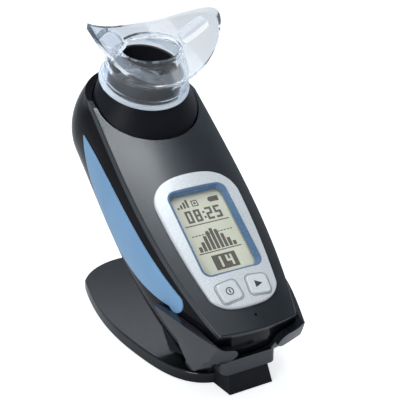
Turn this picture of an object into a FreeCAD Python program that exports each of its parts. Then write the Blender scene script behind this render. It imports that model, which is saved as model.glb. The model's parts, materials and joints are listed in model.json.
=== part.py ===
import FreeCAD, Part
import math
import os

from FreeCAD import Placement, Rotation, Vector

# Inspiratory muscle trainer standing in its charging cradle, in millimetres.
# World frame: +Z up, origin on the table under the middle of the footprint, user at -Y.
# Everything is drawn with Y measured back from the foot of the cradle's nose, and moved
# on to the origin at the end.
# The handset is drawn lying flat: local X across, local Y up its length, local Z out of
# its display. It is then tipped back on to its lean. The mouthpiece has a third frame
# whose Z runs along the outlet.

# Pose of the handset in the cradle
lean = 54.64
display_y = 31.43
display_z = 60.32

# Handset outline, seen square to the display
panel_half_foot = 17.2
panel_half_waist = 22.7
panel_half_width = 24.8
foot_y = -44.5
waist_y = -12.0
shoulder_y = 38.0
foot_bulge = 2.2
socket_y = 71.0
horn_half_width = 24.0
panel_crown_radius = 110.0
rim_edge = 0.7

# Handset levels, each one a height below the display, an outward growth and a foot shift
front_level = 3.0
lip_depth, lip_growth, lip_foot = 6.0, 2.6, 1.2
chin_depth, chin_growth, chin_foot = 17.0, 5.0, 1.7
belly_depth, belly_growth, belly_foot = 28.0, 4.8, 0.0
haunch_depth, haunch_growth, haunch_foot = 38.0, 0.6, -8.5
back_depth, back_growth, back_foot = 46.0, -9.0, -26.0

# Walls and clearances
casing_wall = 2.0
panel_wall = 2.0
seam_gap = 0.05
slide_gap = 0.2
fit_gap = 0.3
running_gap = 0.05
parting_depth = 11.0

# Bezel, display and buttons
bezel_top_y = 28.0
bezel_half_top = 20.0
bezel_half_bottom = 15.6
bezel_bottom_y = -37.0
bezel_rise = 1.4
bezel_seat_depth = 1.6
bezel_edge = 0.8
display_half_width = 14.0
display_half_length = 21.0
display_corner = 4.0
display_border = 1.9
button_width = 9.0
button_length = 8.4
button_corner = 1.6
button_y = -29.2
button_xs = (-7.0, 6.6)
button_proud = 0.5
button_travel = 0.8
button_splay = 6.0

# Grips on the sides
grip_top_y = 67.0
grip_bottom_y = -27.0
grip_thickness = 2.4
grip_proud = 0.5

# Valve head and outlet
ring_y = 77.3
ring_rise = 2.2
outlet_turn = 12.4
ring_radius = 19.6
neck_radius = 23.3
socket_radius = 24.0
socket_depth = 16.0
socket_floor = 2.0
head_wall = 1.7
neck_base_depth = 2.0
chamber_depth = 6.5
skirt_low_depth = 15.7
spigot_radius = 16.4
spigot_wall = 1.6
spigot_height = 8.5
rim_drop_angle = 20.0

# Mouthpiece
tube_radius = 18.6
tube_bore_gap = 0.08
collar_radius = 20.3
flange_plane = 15.8
flange_half_arc = 36.8
flange_half_height = 21.5
flange_power = 1.69
flange_bend_radius = 33.9
flange_thickness = 1.6
throat_half_width = 13.5
throat_half_height = 9.5
bite_angle = 39.0
bite_half_length = 7.2
bite_height = 7.0
bite_thickness = 4.0
bite_corner = 2.6
bite_edge = 0.8

# Cradle
footprint_middle = 62.1
base_back_y = 126.0
base_front_y = 10.5
base_half_width = 31.2
base_shoulder_y = 113.0
base_half_shoulder = 24.5
base_height = 5.4
foot_height = 0.6
base_rim = 2.2
cover_thickness = 1.3
nose_half_width = 10.3
nose_half_top = 8.6
nose_height = 14.2
nose_slope = 4.4
nose_run = 19.0
nose_back_y = 12.5
base_screw_places = ((-20.0, 41.0), (20.0, 41.0), (-20.0, 99.0), (20.0, 99.0))
foot_places = ((-15.0, 29.0), (15.0, 29.0), (-15.0, 109.0), (15.0, 109.0))
usb_half_width = 3.9
usb_height = 2.6
usb_length = 6.0
cup_wall = 3.4
cup_gap = 0.5
bowl_wall = 1.6
notch_half_width = 10.0
notch_floor = 16.0
notch_back_y = 7.0
cup_reach = 60.0
cup_rise = 20.0
arm_end_radius = 4.6
arm_end_z = 22.0
arm_nose_run, arm_nose_z = 14.0, 28.6
arm_corner_x, arm_corner_z, arm_corner_low_z = 23.2, 30.9, 21.2
arm_corner_step = 1.0
arm_step_x, arm_step_z = 18.3, 28.0
arm_inner_x, arm_inner_z = 20.4, 30.0
arm_middle_y, arm_middle_z, arm_middle_low_z = 9.0, 32.8, 23.2
arm_waist_y, arm_waist_low_z = 18.0, 28.2
arm_tip_y, arm_tip_z = 27.0, 35.2
bowl_back_y, bowl_back_z = 17.0, 28.5
bowl_front_y, bowl_front_z, bowl_chin_z = -6.0, 20.0, 15.0
bowl_chin_y = 2.0
bowl_heel_y, bowl_heel_z = 13.5, 14.0
bowl_foot_y = 20.0
saddle_half_width = 13.0
saddle_top_y = 25.0
saddle_middle_y, saddle_middle_z = 37.0, 16.5
saddle_back_y, saddle_back_z = 49.0, 15.0
saddle_foot_y = 57.0
saddle_radius = 2.5
shoulder_half_width = 12.6
shoulder_run = 18.0
shoulder_front_y = 1.0
shoulder_low, shoulder_high = 9.5, 19.0
shoulder_radius = 3.0

# Inside the handset
board_depth = 9.0
board_thickness = 1.6
post_radius = 3.6
post_places = ((-14.5, -38.5), (14.5, -38.5), (-15.0, 31.0), (15.0, 31.0))
screw_radius = 1.1
screw_head_radius = 2.2
screw_head_depth = 22.0
screw_head_height = 1.8
boss_radius = 2.3
battery_half_width = 17.0
battery_low_y, battery_high_y = -20.0, 26.0
battery_top_depth, battery_low_depth = 14.0, 28.0
motor_radius = 8.0
motor_top_depth, motor_low_depth = 22.0, 37.0
shaft_radius = 1.5
tongue_half_length = 2.2
tongue_half_width = 0.6
contact_x = 5.0
contact_depth = 28.0
contact_radius = 1.8
contact_face_y = -47.0
pin_radius = 0.9
barrel_radius = 1.5
barrel_low_y = -52.6

# Inside the valve head, as depths below the display
seat_top, seat_low = 13.3, 14.7
rotor_top, rotor_low = 12.1, 13.2
cage_top, cage_low = 11.0, 12.0
rotor_radius = 16.0
hub_radius = 3.2
port_radius = 11.0
port_half_width = 3.0
port_sweep = 62.0
vent_half_width = 8.0
vent_top, vent_low = 5.4, 10.6
flap_plane = 16.5
flap_half_width = 7.0
flap_top, flap_low = 5.0, 10.8
flap_thickness = 0.6
flap_barrel_radius = 0.9
flap_pin_radius = 0.4


def flat_to_world():
    turn = Rotation(Vector(1, 0, 0), 90.0 - lean)
    return Placement(Vector(0, display_y, display_z), turn)


def outlet_to_flat():
    turn = Rotation(Vector(1, 0, 0), -outlet_turn)
    return Placement(Vector(0, ring_y, ring_rise), turn)


def placed(shape, placement):
    copy = shape.copy()
    copy.Placement = placement.multiply(copy.Placement)
    return copy


def in_handset(shape):
    return placed(shape, flat_to_world())


def in_outlet(shape):
    return placed(shape, flat_to_world().multiply(outlet_to_flat()))


def spline(points):
    curve = Part.BSplineCurve()
    curve.interpolate([Vector(*p) for p in points])
    return curve.toShape()


def arc(first, middle, last):
    return Part.Arc(Vector(*first), Vector(*middle), Vector(*last)).toShape()


def line(first, last):
    return Part.LineSegment(Vector(*first), Vector(*last)).toShape()


def polygon(points):
    return Part.makePolygon([Vector(*p) for p in points] + [Vector(*points[0])])


def prism(wire, vector):
    return Part.Face(wire).extrude(Vector(*vector))


def cylinder(radius, length, base, direction=(0, 0, 1)):
    return Part.makeCylinder(radius, length, Vector(*base), Vector(*direction))


def tube(outer, inner, length, base, direction=(0, 0, 1)):
    bore = cylinder(inner, length, base, direction)
    return cylinder(outer, length, base, direction).cut(bore)


def box(low, high):
    size = [b - a for a, b in zip(low, high)]
    return Part.makeBox(*size, Vector(*low))


def rounded_wire(half_x, half_y, corner, z=0.0, at=(0.0, 0.0)):
    # A rectangle with round corners, drawn anticlockwise from its right edge
    cx, cy = at
    bend = corner * (1.0 - math.sqrt(0.5))
    edges = []
    for turn in range(4):
        along, across = (half_y, half_x) if turn % 2 == 0 else (half_x, half_y)
        local = [line((across, -along + corner, z), (across, along - corner, z)),
                 arc((across, along - corner, z), (across - bend, along - bend, z),
                     (across - corner, along, z))]
        for edge in local:
            edge.rotate(Vector(0, 0, 0), Vector(0, 0, 1), 90.0 * turn)
            edge.translate(Vector(cx, cy, 0))
            edges.append(edge)
    return Part.Wire(Part.__sortEdges__(edges))


def rounded_block(half_x, half_y, corner, low, high, at=(0.0, 0.0)):
    wire = rounded_wire(half_x, half_y, corner, low, at)
    return prism(wire, (0, 0, high - low))


def joined(shapes):
    whole = shapes[0]
    for shape in shapes[1:]:
        whole = whole.fuse(shape)
    return whole.removeSplitter()


# Handset body

def level_wire(depth, growth, foot_shift, extra):
    # The handset's outline at one depth, from the foot up both sides and round the top
    grown = growth + extra
    z = -depth
    foot = foot_y - foot_shift - extra
    half_foot = panel_half_foot + 0.6 * grown
    right = spline([(half_foot, foot, z), (panel_half_waist + grown, waist_y, z),
                    (panel_half_width + grown, shoulder_y, z),
                    (horn_half_width + grown, socket_y, z)])
    left = spline([(-horn_half_width - grown, socket_y, z),
                   (-panel_half_width - grown, shoulder_y, z),
                   (-panel_half_waist - grown, waist_y, z), (-half_foot, foot, z)])
    top = arc((horn_half_width + grown, socket_y, z),
              (0, socket_y + horn_half_width + grown, z),
              (-horn_half_width - grown, socket_y, z))
    bottom = arc((-half_foot, foot, z), (0, foot - foot_bulge, z), (half_foot, foot, z))
    return Part.Wire([right, top, left, bottom])


def body_solid(extra=0.0, front=front_level):
    # The outer form; extra grows it outward, or inward where it is negative
    levels = [(-front, 0.0, 0.0),
              (lip_depth, lip_growth, lip_foot),
              (chin_depth, chin_growth, chin_foot),
              (belly_depth, belly_growth, belly_foot),
              (haunch_depth + 0.8 * extra, haunch_growth, haunch_foot),
              (back_depth + extra, back_growth, back_foot)]
    wires = [level_wire(depth, growth, foot, extra) for depth, growth, foot in levels]
    return Part.makeLoft(wires, True, False)


def crown(radius_change=0.0):
    # Everything below the panel's crowned surface
    length = 300.0
    radius = panel_crown_radius + radius_change
    return cylinder(radius, length, (0, -length / 2, -panel_crown_radius), (0, 1, 0))


def slab(top, bottom):
    reach = 150.0
    return box((-reach, -reach, -bottom), (reach, reach, -top))


def behind_rim():
    # The space above the rim, which falls away behind the head from the horns' tips
    reach = 80.0
    horn_drop = horn_half_width ** 2 / (2.0 * panel_crown_radius)
    wedge = box((-reach, 0, 0), (reach, reach, reach))
    wedge.rotate(Vector(0, 0, 0), Vector(1, 0, 0), -rim_drop_angle)
    wedge.translate(Vector(0, socket_y, -horn_drop))
    return wedge


def handset_outer():
    whole = body_solid().common(crown()).cut(behind_rim())
    rim = [edge for edge in whole.Edges if on_rim(edge)]
    return whole.makeFillet(rim_edge, rim)


def on_rim(edge):
    # True for an edge of the panel's crowned surface down its sides or across its foot
    extent = edge.BoundBox
    if extent.XLength < 5.0 or extent.YMin > socket_y - 1.0:
        return False
    middle = edge.valueAt((edge.FirstParameter + edge.LastParameter) / 2)
    reach = math.hypot(middle.x, middle.z + panel_crown_radius)
    return abs(reach - panel_crown_radius) < 0.01


def handset_cavity():
    inner = body_solid(-casing_wall, 0.0).common(crown(-panel_wall))
    keep = slab(-front_level, back_depth)
    socket_guard = cylinder(socket_radius + casing_wall, socket_depth + socket_floor,
                            (0, socket_y, -socket_depth - socket_floor))
    return inner.common(keep).cut(socket_guard)


def socket_space():
    return cylinder(socket_radius, socket_depth + 10.0, (0, socket_y, -socket_depth))


def grip_outline(growth=0.0):
    # Leaf shape in side view, pointed at the top, with a round lower end
    top = (0, grip_top_y + growth, -15.5)
    low_front = (0, grip_bottom_y + 5.0, -6.6 + growth)
    low_back = (0, grip_bottom_y + 5.0, -14.2 - growth)
    front = spline([low_front, (0, 8.0, -9.6 + growth), (0, 42.0, -12.0 + growth), top])
    back = spline([top, (0, 44.0, -27.5 - growth), (0, 8.0, -27.0 - growth), low_back])
    end = arc(low_back, (0, grip_bottom_y - growth, -9.4), low_front)
    return Part.Wire([front, back, end])


def grip_prism(side, growth=0.0):
    reach = 60.0
    return prism(grip_outline(growth), (side * reach, 0, 0))


def grip(side, outer_skin, inner_skin):
    region = grip_prism(side).common(outer_skin)
    return region.cut(inner_skin)


def side_recess(side, inner_skin):
    reach = grip_prism(side, seam_gap)
    return reach.cut(inner_skin)


# Bezel, display and buttons

def bezel_wire(inset, z):
    # Wide and square at the top, narrower and rounder at the bottom
    top = bezel_top_y - inset
    half_top = bezel_half_top - inset
    half_bottom = bezel_half_bottom - inset
    bottom = bezel_bottom_y + inset
    right = spline([(half_bottom, -30.0, z), (half_top - 1.4, -8.0, z), (half_top, 16.0, z)])
    left = spline([(-half_top, 16.0, z), (1.4 - half_top, -8.0, z), (-half_bottom, -30.0, z)])
    crest = spline([(half_top, 16.0, z), (0.78 * half_top, 24.3 - 0.6 * inset, z), (0, top, z),
                    (-0.78 * half_top, 24.3 - 0.6 * inset, z), (-half_top, 16.0, z)])
    sole = spline([(-half_bottom, -30.0, z), (-0.72 * half_bottom, -34.9 + 0.6 * inset, z),
                   (0, bottom, z), (0.72 * half_bottom, -34.9 + 0.6 * inset, z),
                   (half_bottom, -30.0, z)])
    return Part.Wire([right, crest, left, sole])


def bezel_block(inset, low, high):
    return prism(bezel_wire(inset, -low), (0, 0, low - high))


def button_place(index):
    turn = Rotation(Vector(0, 0, 1), button_splay if index == 0 else -button_splay)
    return Placement(Vector(button_xs[index], button_y, 0), turn)


def button_hole(index, gap):
    hole = rounded_block(button_width / 2 + gap, button_length / 2 + gap,
                         button_corner + gap, -6.0, 6.0)
    return placed(hole, button_place(index))


def make_bezel():
    plate = bezel_block(0.0, bezel_seat_depth, -5.0).common(crown(bezel_rise))
    plate = plate.makeFillet(bezel_edge, [edge for edge in plate.Edges
                                          if edge.BoundBox.ZMin > -bezel_seat_depth + 0.5])
    window = rounded_block(display_half_width, display_half_length, display_corner, -6.0, 6.0)
    plate = plate.cut(window)
    for index in range(2):
        plate = plate.cut(button_hole(index, slide_gap))
    return plate


def make_display_surround():
    # The sloping border round the display
    low = -bezel_seat_depth
    edge_gap = seam_gap
    outer = rounded_block(display_half_width - edge_gap, display_half_length - edge_gap,
                          display_corner - edge_gap, low, bezel_rise - 0.5)
    bottom = rounded_wire(display_half_width - display_border,
                          display_half_length - display_border, display_corner - 1.2, low)
    top = rounded_wire(display_half_width - 0.7, display_half_length - 0.7,
                       display_corner - 0.5, bezel_rise - 0.5)
    slope = Part.makeLoft([bottom, top], True, True)
    return outer.cut(slope)


def make_display_window():
    top = bezel_seat_depth
    return rounded_block(display_half_width, display_half_length, display_corner,
                         -top - 1.0, -top)


def make_lcd_panel():
    top = bezel_seat_depth + 1.0
    return rounded_block(display_half_width - 0.5, display_half_length - 0.5, 3.5,
                         -top - 1.8, -top)


def make_lcd_holder():
    top = bezel_seat_depth + 2.8
    low = -board_depth
    frame = rounded_block(display_half_width + 1.2, display_half_length + 1.2, 2.0, low, -top)
    hollow = rounded_block(display_half_width - 2.0, display_half_length - 2.0, 1.0,
                           low, -top - 1.2)
    lip = rounded_block(display_half_width + 1.2, display_half_length + 1.2, 2.0,
                        -top, -top + 0.9)
    nest = rounded_block(display_half_width - 0.5 + seam_gap,
                         display_half_length - 0.5 + seam_gap, 3.5, -top, -top + 0.9)
    return joined([frame, lip.cut(nest)]).cut(hollow)


def make_button(index):
    top = bezel_rise + button_proud
    cap = rounded_block(button_width / 2, button_length / 2, button_corner, -2.0, top)
    cap = cap.makeFillet(0.5, [edge for edge in cap.Edges
                               if edge.BoundBox.ZMin > top - 0.01])
    flange_top = -bezel_seat_depth - fit_gap
    flange = rounded_block(button_width / 2 + 1.0, button_length / 2 + 1.0,
                           button_corner + 1.0, flange_top - 1.0, flange_top)
    stem = cylinder(1.6, 3.0, (0, 0, flange_top - 3.4))
    return placed(joined([cap, flange, stem]), button_place(index))


def make_key_mat():
    # Rubber mat on the board with a dome under each button
    low = -board_depth
    mat = rounded_block(14.0, 5.4, 1.5, low, low + 1.0, (0, button_y))
    stem_end = bezel_seat_depth + fit_gap + 3.4
    domes = []
    for x in button_xs:
        height = board_depth - stem_end - button_travel - 0.1
        domes.append(Part.makeCone(3.6, 2.2, height, Vector(x, button_y, low)))
    return joined([mat] + domes)


# Handset casing pieces

def make_front_panel(outer):
    skin = outer.cut(crown(-panel_wall))
    skin = skin.cut(socket_space())
    skin = skin.cut(bezel_block(-seam_gap, bezel_seat_depth + seam_gap, -9.0))
    opening = rounded_block(display_half_width + seam_gap, display_half_length + seam_gap,
                            display_corner, -9.0, 9.0)
    skin = skin.cut(opening)
    for index in range(2):
        skin = skin.cut(button_hole(index, 1.0 + slide_gap))
    under = crown(-panel_wall / 2)
    bosses = [cylinder(boss_radius, 20.0, (x, y, -board_depth)).common(under)
              for x, y in post_places]
    skin = joined([skin] + bosses)
    for x, y in post_places:
        skin = skin.cut(cylinder(screw_radius + seam_gap, 5.4, (x, y, -board_depth)))
    return skin.cut(cylinder(0.6, 12.0, (0, -41.0, -8.0)))


def make_front_casing(outer, cavity, skins):
    band = outer.common(crown(-panel_wall - seam_gap)).common(slab(-5.0, parting_depth))
    band = band.cut(cavity).cut(socket_space())
    for side, recess in zip((-1, 1), skins):
        band = band.cut(recess)
    return band


def screw_posts(outer, top_depth, low_depth):
    posts = [cylinder(post_radius, low_depth - top_depth, (x, y, -low_depth))
             for x, y in post_places]
    return [post.common(outer) for post in posts]


def make_rear_casing(outer, cavity, skins):
    # A deep bowl with four screw posts and two ribs that carry the battery
    bowl = outer.common(slab(parting_depth, 60.0)).cut(cavity).cut(socket_space())
    bowl = bowl.cut(cylinder(shaft_radius + 1.0, 10.0, (0, socket_y, -socket_depth - 6.0)))
    inside = body_solid(-casing_wall / 2)
    posts = screw_posts(inside, board_depth + board_thickness, 60.0)
    ribs = [box((-14.0, y - 0.8, -60.0), (14.0, y + 0.8, -battery_low_depth)).common(inside)
            for y in (battery_low_y + 9.0, battery_high_y - 9.0)]
    bowl = joined([bowl] + posts + ribs)
    for x, y in post_places:
        seat = 60.0 - screw_head_depth + screw_head_height
        bowl = bowl.cut(cylinder(screw_head_radius + fit_gap, seat, (x, y, -60.0)))
        bowl = bowl.cut(cylinder(screw_radius + seam_gap, 60.0, (x, y, -60.0)))
    for recess in skins:
        bowl = bowl.cut(recess)
    for x in (-contact_x, contact_x):
        bowl = bowl.cut(contact_pin_solid(x, seam_gap))
    return bowl


def contact_pin_solid(x, gap=0.0):
    length = 7.0
    return cylinder(contact_radius + gap, length, (x, contact_face_y - gap, -contact_depth),
                    (0, 1, 0))


def make_charge_contacts():
    # Two plated studs through the foot of the casing, each with a collar inside
    studs = []
    for x in (-contact_x, contact_x):
        collar = cylinder(contact_radius + 0.8, 1.0, (x, contact_face_y + 6.0, -contact_depth),
                          (0, 1, 0))
        studs.append(joined([contact_pin_solid(x), collar]))
    return Part.makeCompound(studs)


def make_casing_screws():
    screws = []
    for x, y in post_places:
        head = cylinder(screw_head_radius, screw_head_height, (x, y, -screw_head_depth))
        shank = cylinder(screw_radius, 17.0, (x, y, -screw_head_depth + 1.0))
        drive = cylinder(0.9, 0.9, (x, y, -screw_head_depth))
        screws.append(joined([head, shank]).cut(drive))
    return Part.makeCompound(screws)


def make_main_board():
    z = -board_depth - board_thickness
    points = [(-15.5, -40.5, z), (15.5, -40.5, z), (19.0, -14.0, z), (19.0, 43.0, z),
              (-19.0, 43.0, z), (-19.0, -14.0, z)]
    board = prism(polygon(points), (0, 0, board_thickness))
    for x, y in post_places:
        board = board.cut(cylinder(screw_radius + seam_gap, 20.0, (x, y, -20.0)))
    return board


def make_battery_pack():
    # Two flat cells side by side in one sleeve
    half_x = battery_half_width
    middle = (battery_low_y + battery_high_y) / 2
    half_y = (battery_high_y - battery_low_y) / 2
    pack = rounded_block(half_x, half_y, 3.0, -battery_low_depth, -battery_top_depth,
                         (0, middle))
    groove = box((-0.6, battery_low_y - 1.0, -battery_top_depth - 1.0),
                 (0.6, battery_high_y + 1.0, -battery_top_depth + 1.0))
    return pack.cut(groove)


def make_sounder():
    low = -board_depth - board_thickness
    body = cylinder(5.0, 3.0, (0, -31.0, low - 3.0))
    return body.cut(cylinder(0.8, 1.0, (0, -31.0, low - 3.0)))


def make_pressure_sensor():
    low = -board_depth
    body = box((5.0, 33.0, low), (12.0, 40.0, low + 2.6))
    nozzle = cylinder(1.2, 4.0, (8.5, 40.0, low + 1.4), (0, 1, 0))
    return joined([body, nozzle])


def make_light_guide():
    # Clear rod under the pinhole, standing on the board
    foot = cylinder(1.5, 4.0, (0, -41.0 + 1.5, -board_depth))
    rod = cylinder(0.5, 7.0, (0, -41.0, -board_depth))
    return joined([foot, rod])


# Valve drive

def make_motor():
    length = motor_low_depth - motor_top_depth
    can = cylinder(motor_radius, length, (0, socket_y, -motor_low_depth))
    edges = [edge for edge in can.Edges if edge.BoundBox.ZLength < 0.01]
    can = can.makeFillet(0.8, edges)
    tail = rounded_block(5.0, 2.4, 0.8, -motor_low_depth + 2.0, -motor_low_depth + 6.0,
                         (0, socket_y - motor_radius - 1.2))
    can = joined([can, tail])
    return can.cut(cylinder(shaft_radius + running_gap, length, (0, socket_y, -motor_top_depth
                                                                  - 12.0)))


def make_motor_bracket():
    low = -motor_top_depth
    ceiling = -socket_depth - socket_floor
    plate = rounded_block(12.0, 5.5, 2.0, low, low + 1.2, (0, socket_y))
    feet = [cylinder(2.4, ceiling - low, (x, socket_y, low)) for x in (-9.4, 9.4)]
    bracket = joined([plate] + feet)
    return bracket.cut(cylinder(shaft_radius + 1.0, 10.0, (0, socket_y, low - 1.0)))


def make_drive_shaft():
    # Motor shaft that ends in a flat tongue, which turns the valve rotor
    shoulder = socket_depth + 0.1
    low = motor_top_depth + 11.5
    shaft = cylinder(shaft_radius, low - shoulder, (0, socket_y, -low))
    collar = cylinder(tongue_half_length, 1.0, (0, socket_y, -shoulder))
    tongue = box((-tongue_half_length, socket_y - tongue_half_width, -shoulder + 1.0),
                 (tongue_half_length, socket_y + tongue_half_width, -seat_top - 0.2))
    round_cut = cylinder(tongue_half_length, 10.0, (0, socket_y, -shoulder))
    return joined([shaft, collar, tongue.common(round_cut)])


# Valve head

def circle_wire(radius, centre, normal=(0, 0, 1)):
    return Part.Wire(Part.makeCircle(radius, Vector(*centre), Vector(*normal)))


def outlet_circle(radius, z):
    wire = circle_wire(radius, (0, 0, z))
    return placed(wire, outlet_to_flat())


def neck_form(inset, top, low):
    # Oblique cone from the round socket to the tilted outlet ring
    wide = circle_wire(neck_radius - inset, (0, socket_y, -low))
    narrow = outlet_circle(ring_radius - inset, top)
    return Part.makeLoft([wide, narrow], True, True)




def vent_box(gap=0.0):
    return box((-vent_half_width - gap, socket_y + flap_plane, -vent_low - gap),
               (vent_half_width + gap, socket_y + 40.0, -vent_top + gap))


def make_valve_head_shell():
    skirt_length = skirt_low_depth - neck_base_depth
    skirt = cylinder(neck_radius, skirt_length, (0, socket_y, -skirt_low_depth))
    shell = joined([skirt, neck_form(0.0, 0.0, neck_base_depth)])
    hollow = cylinder(neck_radius - head_wall, skirt_length + 1.0,
                      (0, socket_y, -skirt_low_depth - 1.0))
    hollow = hollow.common(slab(chamber_depth, 60.0))
    shell = shell.cut(hollow).cut(neck_form(head_wall, -2.5, chamber_depth))
    bore = placed(cylinder(spigot_radius + seam_gap, 20.0, (0, 0, -6.0)), outlet_to_flat())
    shell = shell.cut(bore)
    for turn in range(6):
        notch = box((neck_radius - 4.0, -3.0, -skirt_low_depth - 1.0),
                    (neck_radius + 2.0, 3.0, -seat_low - 0.1))
        notch.rotate(Vector(0, 0, 0), Vector(0, 0, 1), 60.0 * turn)
        notch.translate(Vector(0, socket_y, 0))
        shell = shell.cut(notch)
    return shell.cut(vent_box())


def make_outlet_spigot():
    # Round nozzle that the mouthpiece slides on, in the outlet frame
    wall = tube(spigot_radius, spigot_radius - spigot_wall, spigot_height + 3.5, (0, 0, -3.5))
    flange = tube(spigot_radius + 1.2, spigot_radius - spigot_wall, 0.9, (0, 0, -3.5))
    rim = [edge for edge in wall.Edges if edge.BoundBox.ZMin > spigot_height - 0.01]
    wall = wall.makeFillet(0.5, rim)
    return joined([wall, flange])


def ring_sector(radius, half_width, sweep, low, high):
    # A kidney-shaped port on a ring, with round ends
    wide = tube(radius + half_width, radius - half_width, high - low, (0, 0, low))
    wedge = Part.makeCylinder(radius + 2 * half_width, high - low, Vector(0, 0, low),
                              Vector(0, 0, 1), sweep)
    sector = wide.common(wedge)
    ends = []
    for angle in (0.0, sweep):
        at = math.radians(angle)
        ends.append(cylinder(half_width, high - low,
                             (radius * math.cos(at), radius * math.sin(at), low)))
    return joined([sector] + ends)


def cut_ports(disc, low, high, turn):
    for index in range(3):
        port = ring_sector(port_radius, port_half_width, port_sweep - 20.0, low, high)
        port.rotate(Vector(0, 0, 0), Vector(0, 0, 1), 120.0 * index + turn)
        port.translate(Vector(0, socket_y, 0))
        disc = disc.cut(port)
    return disc


def make_valve_seat():
    disc = cylinder(neck_radius - head_wall - seam_gap, seat_low - seat_top,
                    (0, socket_y, -seat_low))
    disc = cut_ports(disc, -seat_low - 1.0, -seat_top + 1.0, 0.0)
    return disc.cut(cylinder(hub_radius + 1.6, 10.0, (0, socket_y, -seat_low - 2.0)))


def make_rotor_bush():
    return tube(hub_radius + 1.6 - seam_gap, hub_radius + running_gap, seat_low - seat_top,
                (0, socket_y, -seat_low))


def make_valve_rotor():
    # Ported disc on a hub whose slot takes the motor's tongue
    disc = cylinder(rotor_radius, rotor_low - rotor_top, (0, socket_y, -rotor_low))
    disc = cut_ports(disc, -rotor_low - 1.0, -rotor_top + 1.0, port_sweep - 20.0)
    hub = cylinder(hub_radius, seat_low - rotor_top + 0.2, (0, socket_y, -seat_low - 0.2))
    rotor = joined([disc, hub])
    slot_top = -seat_top
    slot = box((-tongue_half_length - slide_gap, socket_y - tongue_half_width - slide_gap,
                -seat_low - 1.0),
               (tongue_half_length + slide_gap, socket_y + tongue_half_width + slide_gap,
                slot_top))
    rotor = rotor.cut(slot)
    return rotor.cut(cylinder(0.8 + running_gap, 0.8, (0, socket_y, -rotor_top - 0.8)))


def make_valve_cage():
    # Three-armed bridge that keeps the rotor on its seat
    outer = neck_radius - head_wall - seam_gap
    ring = tube(outer, outer - 1.6, cage_low - cage_top, (0, socket_y, -cage_low))
    arms = []
    for index in range(3):
        arm = box((0, -0.9, -cage_low), (outer - 1.0, 0.9, -cage_top))
        arm.rotate(Vector(0, 0, 0), Vector(0, 0, 1), 120.0 * index + 30.0)
        arm.translate(Vector(0, socket_y, 0))
        arms.append(arm)
    pin = cylinder(0.8, 0.7 + cage_low - cage_top, (0, socket_y, -rotor_top - 0.6))
    boss = cylinder(2.4, cage_low - cage_top, (0, socket_y, -cage_low))
    return joined([ring, boss, pin] + arms)


def make_vent_grille():
    # Curved louvre over the vent at the back of the head
    wall = tube(neck_radius, neck_radius - head_wall + 0.3, 20.0, (0, socket_y, -15.0))
    patch = wall.common(vent_box(-seam_gap))
    bars = 5
    pitch = 2 * vent_half_width / bars
    for index in range(bars):
        x = -vent_half_width + pitch * (index + 0.5)
        slot = box((x - 0.9, socket_y + 10.0, -vent_low + 1.2),
                   (x + 0.9, socket_y + 40.0, -vent_top - 1.2))
        patch = patch.cut(slot)
    return patch


def flap_axis_y():
    return socket_y + flap_plane + flap_barrel_radius


def make_vent_seat():
    # Wall across the back of the head with the vent's port and the flap's two ears
    face = socket_y + flap_plane - 0.15
    plate = box((-16.0, face - 1.1, -cage_top + 0.1), (16.0, face, -flap_top + 0.2))
    plate = plate.common(cylinder(neck_radius - head_wall - seam_gap, 20.0,
                                  (0, socket_y, -15.0)))
    port = box((-5.0, face - 3.0, -flap_low + 0.9), (5.0, face + 1.0, -flap_top - 1.3))
    ears = []
    for side in (-1, 1):
        low = side * (flap_half_width + 0.2)
        high = side * (flap_half_width + 1.2)
        ears.append(box((min(low, high), face, -flap_top - 0.9),
                        (max(low, high), face + 2.2, -flap_top + 0.9)))
    plate = joined([plate] + ears).cut(port)
    pin_hole = cylinder(flap_pin_radius + 0.01, 40.0, (-20.0, flap_axis_y(), -flap_top),
                        (1, 0, 0))
    return plate.cut(pin_hole)


def make_vent_flap():
    plane = socket_y + flap_plane
    leaf = box((-flap_half_width, plane, -flap_low), (flap_half_width, plane + flap_thickness,
                                                      -flap_top))
    barrel = cylinder(flap_barrel_radius, 2 * flap_half_width,
                      (-flap_half_width, flap_axis_y(), -flap_top), (1, 0, 0))
    flap = joined([leaf, barrel])
    return flap.cut(cylinder(flap_pin_radius + running_gap, 40.0,
                             (-20.0, flap_axis_y(), -flap_top), (1, 0, 0)))


def make_flap_pin():
    length = 2 * flap_half_width + 2.4
    return cylinder(flap_pin_radius, length, (-length / 2, flap_axis_y(), -flap_top), (1, 0, 0))


# Mouthpiece, in the outlet frame

def leaf_wire(z):
    # Lens shape with pointed ends, bent round the lips: its length is measured on the arc
    count = 9
    top = []
    for index in range(count):
        share = math.pi * index / (count - 1)
        along = flange_half_arc * math.copysign(abs(math.cos(share)) ** (2 / flange_power),
                                                math.cos(share))
        x = flange_bend_radius * math.sin(along / flange_bend_radius)
        y = flange_half_height * abs(math.sin(share)) ** (2 / flange_power)
        top.append((x, y, z))
    bottom = [(-x, -y, z) for x, y, z in top]
    return Part.Wire([spline(top), spline(bottom)])


def throat(growth, low, high):
    ellipse = Part.Ellipse(Vector(0, 0, low), throat_half_width + growth,
                           throat_half_height + growth)
    return prism(Part.Wire(ellipse.toShape()), (0, 0, high - low))


def throat_wire(growth, z):
    ellipse = Part.Ellipse(Vector(0, 0, z), throat_half_width + growth,
                           throat_half_height + growth)
    return Part.Wire(ellipse.toShape())


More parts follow.
